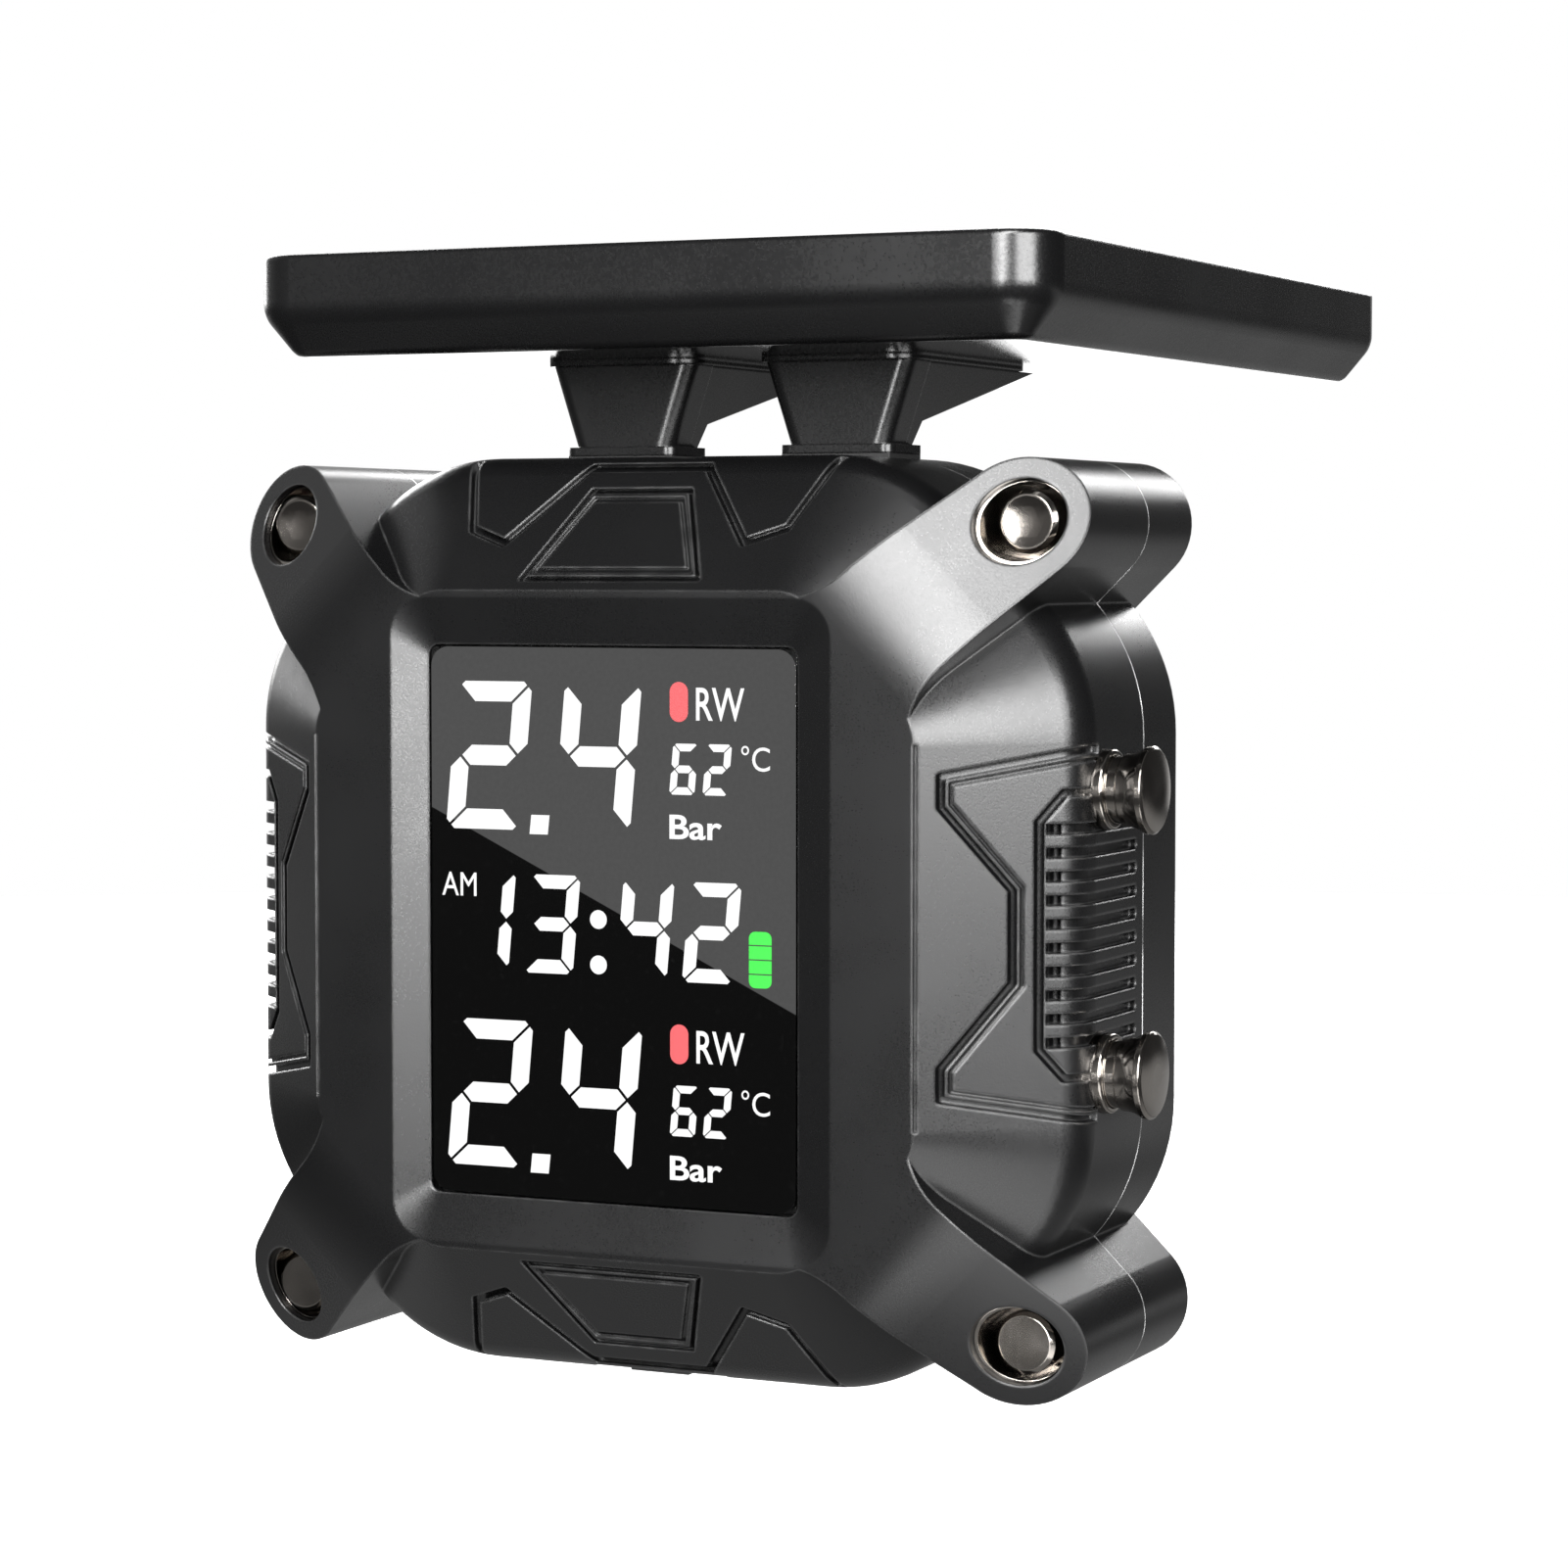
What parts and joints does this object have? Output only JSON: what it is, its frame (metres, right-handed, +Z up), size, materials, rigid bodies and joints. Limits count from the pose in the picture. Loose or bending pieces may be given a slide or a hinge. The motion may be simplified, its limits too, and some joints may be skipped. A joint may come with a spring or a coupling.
{
  "type": "tire pressure monitor display",
  "caption": "Compact square tire pressure display head with four ear lugs, two side push buttons, rear screw mount and a flat solar panel carried above on two posts",
  "frame": {"origin": "centre of the rear mounting face, midway between the two mounting screws", "axes": "+Z up toward the solar panel, display looks along -Y, rear mounting face looks along +Y, buttons on the +X side"},
  "size_m": [0.0668, 0.0774, 0.0769],
  "materials": {
    "casing_plastic": "fine-grained satin black moulding",
    "roof_plastic": "satin black moulding",
    "post_plastic": "satin black moulding",
    "window_glass": "clear hard-coated lens with black border",
    "window_tape": "double-sided tape",
    "nickel": "dark bright nickel",
    "steel": "zinc-plated steel",
    "black_screw": "black oxide steel",
    "brass": "turned brass",
    "seal_rubber": "silicone rubber",
    "lcd_glass": "dark polarised display face",
    "frame_white": "white moulded frame",
    "light_guide": "clear acrylic",
    "led_white": "phosphor-coated light source",
    "ribbon": "polyimide flat cable",
    "board_green": "green solder mask",
    "chip_black": "moulded package",
    "tin_can": "tinned sheet",
    "copper_wire": "bare copper wire",
    "connector_white": "natural nylon",
    "battery_foil": "silver pouch foil",
    "foam": "closed-cell foam",
    "lead_red": "insulated wire",
    "solar_board": "white laminate carrier",
    "solar_cell": "dark blue silicon",
    "clear_film": "clear bonding film",
    "solar_glass": "clear cover"
  },
  "bodies": {
    "head": {"front_casing": "casing_plastic", "rear_casing": "casing_plastic", "casing_gasket": "seal_rubber", "display_window": "window_glass", "window_tape": "window_tape", "ear_ferrules": "nickel", "ear_studs": "nickel", "ear_screws": "black_screw", "mount_inserts": "brass", "lcd_panel": "lcd_glass", "lcd_frame": "frame_white", "light_guide": "light_guide", "backlight_leds": "led_white", "lcd_ribbon": "ribbon", "ribbon_connector": "connector_white", "main_board": "board_green", "board_screws": "steel", "board_chips": "chip_black", "rf_shield": "tin_can", "antenna_coil": "copper_wire", "buzzer": "chip_black", "wire_headers": "connector_white", "wire_plugs": "connector_white", "usb_socket": "tin_can", "battery_cell": "battery_foil", "battery_foam": "foam", "battery_leads": "lead_red", "solar_leads": "lead_red", "button_collars": "nickel", "switch_bodies": "chip_black", "port_pin": "steel", "post_left": "post_plastic", "post_right": "post_plastic", "post_seals": "seal_rubber", "post_screws": "steel", "tray_screws": "steel", "solar_tray": "roof_plastic", "solar_carrier": "solar_board", "solar_cells": "solar_cell", "solar_adhesive": "clear_film", "solar_cover": "solar_glass"},
    "upper_button": {"button_upper": "nickel", "button_upper_seal": "seal_rubber", "button_upper_clip": "steel"},
    "lower_button": {"button_lower": "nickel", "button_lower_seal": "seal_rubber", "button_lower_clip": "steel"},
    "upper_plunger": {"switch_plunger_upper": "connector_white"},
    "lower_plunger": {"switch_plunger_lower": "connector_white"},
    "cover": {"port_cover": "seal_rubber"}
  },
  "joints": [
    {"name": "upper_button_press", "type": "slide", "parent": "head", "child": "upper_button", "axis": [-1, 0, 0], "range_m": [0, 0.0005], "stiffness_N_per_m": 2000},
    {"name": "lower_button_press", "type": "slide", "parent": "head", "child": "lower_button", "axis": [-1, 0, 0], "range_m": [0, 0.0005], "stiffness_N_per_m": 2000},
    {"name": "upper_plunger_press", "type": "slide", "parent": "head", "child": "upper_plunger", "axis": [-1, 0, 0], "range_m": [0, 0.0005]},
    {"name": "lower_plunger_press", "type": "slide", "parent": "head", "child": "lower_plunger", "axis": [-1, 0, 0], "range_m": [0, 0.0005]},
    {"name": "port_cover_hinge", "type": "hinge", "parent": "head", "child": "cover", "pos_m": [0, -0.0111, -0.0308], "axis": [1, 0, 0], "range_deg": [0, 100]}
  ],
  "couplings": [
    {"joint": "upper_plunger_press", "follows": "upper_button_press", "ratio": 1},
    {"joint": "lower_plunger_press", "follows": "lower_button_press", "ratio": 1}
  ]
}
